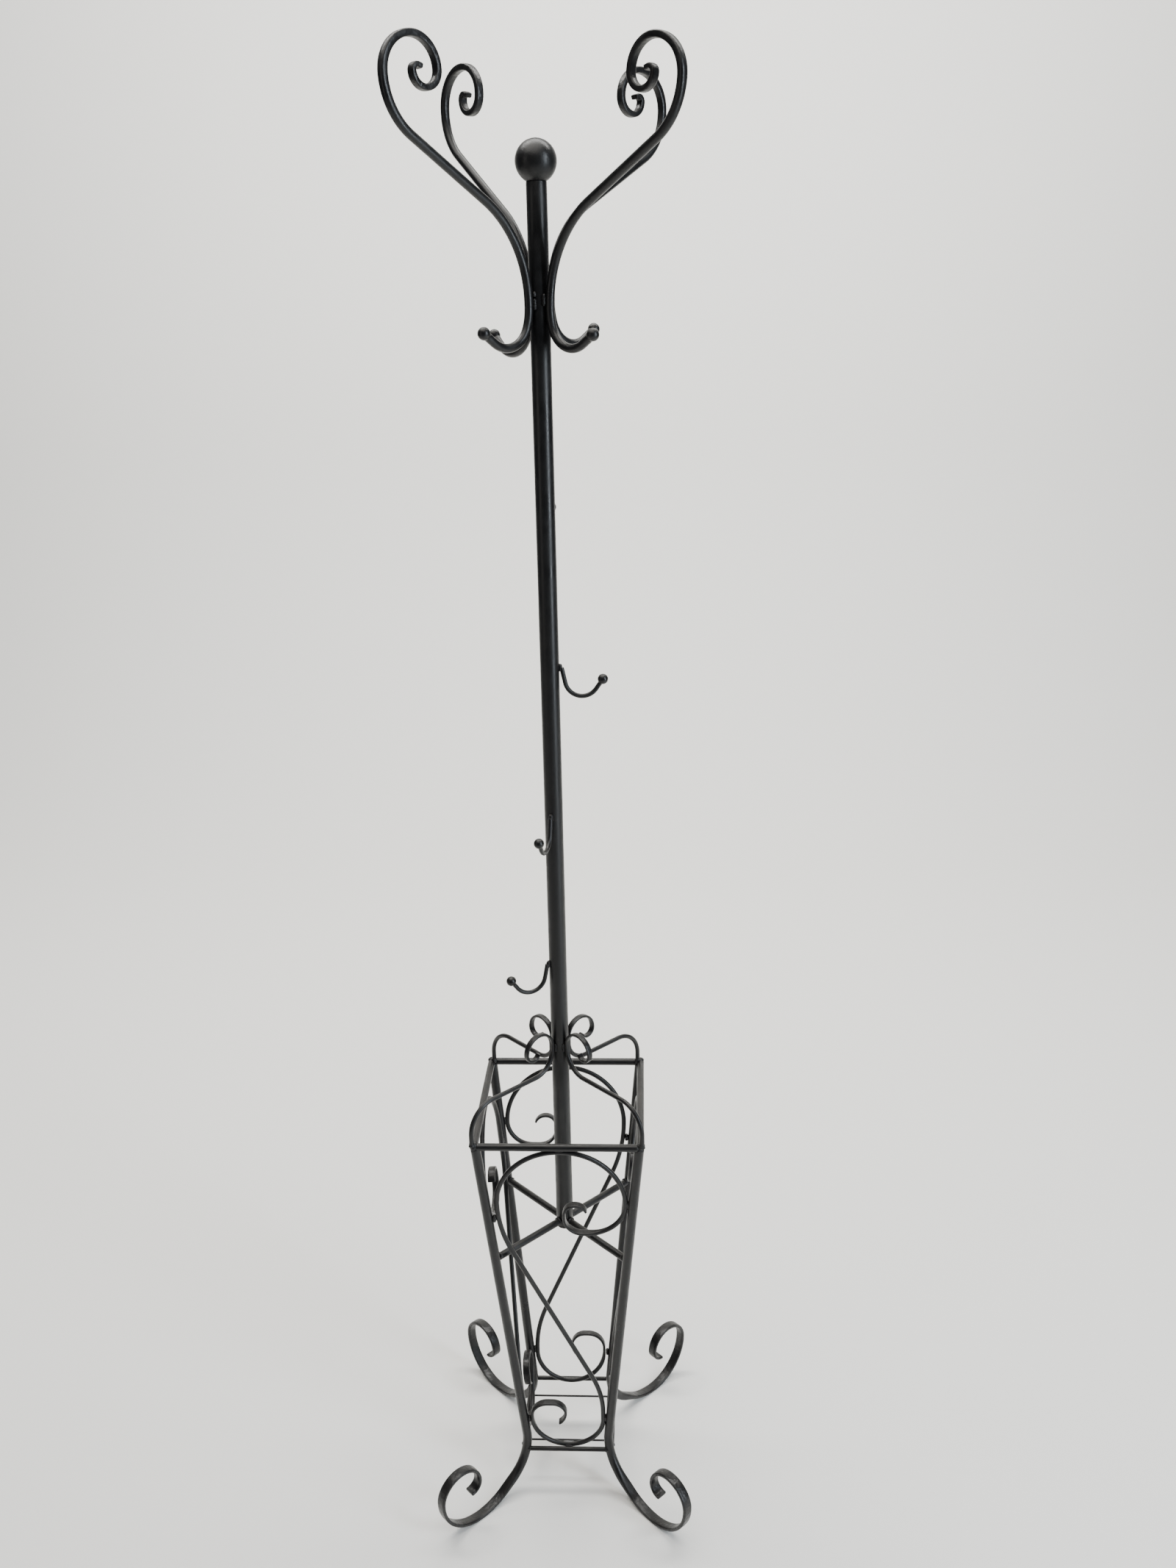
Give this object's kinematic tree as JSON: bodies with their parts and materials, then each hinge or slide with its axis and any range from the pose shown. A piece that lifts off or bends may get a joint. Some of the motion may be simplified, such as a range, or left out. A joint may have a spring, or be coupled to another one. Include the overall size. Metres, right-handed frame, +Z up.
{
  "type": "coat rack with umbrella stand",
  "caption": "Freestanding black metal coat rack: ball-topped pole with scrolled hook arms and small side hooks, on a tapered four-legged scrollwork umbrella well.",
  "frame": {"origin": "on the floor, under the pole's axis", "axes": "+Z up along the pole, -Y to the front, +X to the rack's right as seen from the front"},
  "size_m": [0.333, 0.333, 1.801],
  "materials": {
    "pole": "satin black powder coat",
    "finial": "satin black powder coat",
    "cage_rods": "satin black powder coat",
    "legs": "satin black powder coat",
    "tray_wires": "satin black powder coat",
    "panel_scrolls": "satin black powder coat",
    "cap_straps": "satin black powder coat",
    "arms": "satin black powder coat",
    "pole_hooks": "satin black powder coat",
    "hook_balls": "satin black powder coat",
    "welds": "satin black powder coat over rough weld"
  },
  "bodies": {
    "root": {"pole": "pole", "pole_end_cap": "pole", "finial_ball": "finial", "top_rail_front": "cage_rods", "top_rail_right": "cage_rods", "top_rail_back": "cage_rods", "top_rail_left": "cage_rods", "leg_front_left": "legs", "leg_front_right": "legs", "leg_back_right": "legs", "leg_back_left": "legs", "low_rail_front": "cage_rods", "low_rail_right": "cage_rods", "low_rail_back": "cage_rods", "low_rail_left": "cage_rods", "tray_wire_front": "tray_wires", "tray_wire_back": "tray_wires", "brace_front_left": "cage_rods", "brace_front_right": "cage_rods", "brace_back_right": "cage_rods", "brace_back_left": "cage_rods", "panel_scroll_front": "panel_scrolls", "panel_scroll_right": "panel_scrolls", "panel_scroll_back": "panel_scrolls", "panel_scroll_left": "panel_scrolls", "cap_strap_front_left": "cap_straps", "cap_strap_front_right": "cap_straps", "cap_strap_back_right": "cap_straps", "cap_strap_back_left": "cap_straps", "arm_front_left": "arms", "arm_front_right": "arms", "arm_back_right": "arms", "arm_back_left": "arms", "arm_ball_front_left": "hook_balls", "arm_ball_front_right": "hook_balls", "arm_ball_back_right": "hook_balls", "arm_ball_back_left": "hook_balls", "pole_hook_front": "pole_hooks", "pole_hook_right": "pole_hooks", "pole_hook_back": "pole_hooks", "pole_hook_left": "pole_hooks", "hook_ball_front": "hook_balls", "hook_ball_right": "hook_balls", "hook_ball_back": "hook_balls", "hook_ball_left": "hook_balls", "arm_welds": "welds", "hook_welds": "welds", "panel_welds": "welds", "strap_welds": "welds", "brace_welds": "welds"}
  },
  "joints": []
}
